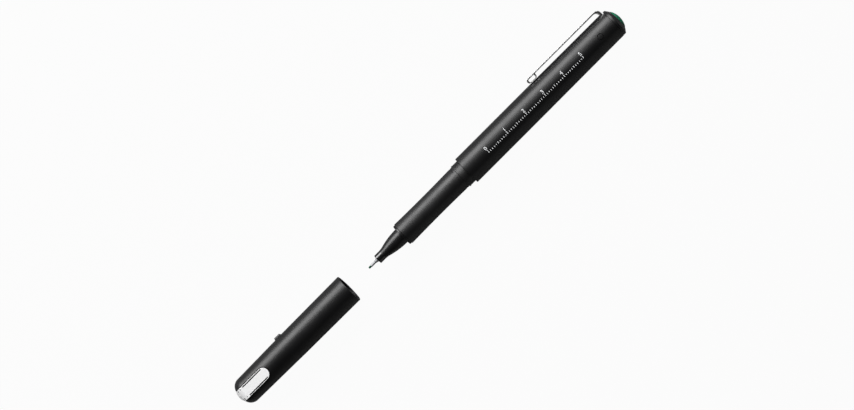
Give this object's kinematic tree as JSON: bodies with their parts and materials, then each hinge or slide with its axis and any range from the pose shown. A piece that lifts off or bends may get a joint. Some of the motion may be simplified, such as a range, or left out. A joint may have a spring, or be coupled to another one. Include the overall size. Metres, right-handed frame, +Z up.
{
  "type": "fineliner pen",
  "caption": "Round black fineliner pen with a waisted grip, metal-sleeved fibre tip, sprung pocket clip and coloured tail button, its domed pull-off cap lying ahead of the tip.",
  "frame": {"origin": "on the pen's axis at the barrel's front shoulder, where the cap's mouth comes to rest", "axes": "+X along the pen's axis towards the tail, +Y towards the pocket clip, +Z up"},
  "size_m": [0.2022, 0.014, 0.012],
  "materials": {
    "barrel_plastic": "fine matt moulded black",
    "nose_plastic": "satin to glossy moulded black",
    "sleeve_steel": "drawn stainless tube",
    "nib_fibre": "bonded fibre wet with green ink",
    "reservoir_fibre": "polyester fibre stick soaked with green ink",
    "wrap_film": "clear film",
    "button_plastic": "glossy moulded green",
    "clip_steel": "polished spring steel strip",
    "liner_plastic": "moulded dark polyethylene",
    "strap_metal": "satin bright metal inlay"
  },
  "bodies": {
    "pen": {"barrel": "barrel_plastic", "grip_section": "barrel_plastic", "nose_cone": "nose_plastic", "nib_sleeve": "sleeve_steel", "fibre_nib": "nib_fibre", "ink_reservoir": "reservoir_fibre", "reservoir_wrap": "wrap_film", "tail_crown": "barrel_plastic", "colour_button": "button_plastic"},
    "clip": {"clip": "clip_steel"},
    "cap": {"cap_shell": "barrel_plastic", "inner_cap": "liner_plastic", "cap_strap": "strap_metal"}
  },
  "joints": [
    {"name": "cap_slide", "type": "slide", "parent": "pen", "child": "cap", "axis": [1, 0, 0], "range_m": [0, 0.0624]},
    {"name": "clip_flex", "type": "hinge", "parent": "pen", "child": "clip", "pos_m": [0.07761, 0.0041, 0], "axis": [0, 0, -1], "range_deg": [0, 4], "stiffness_Nm_per_rad": 2}
  ]
}
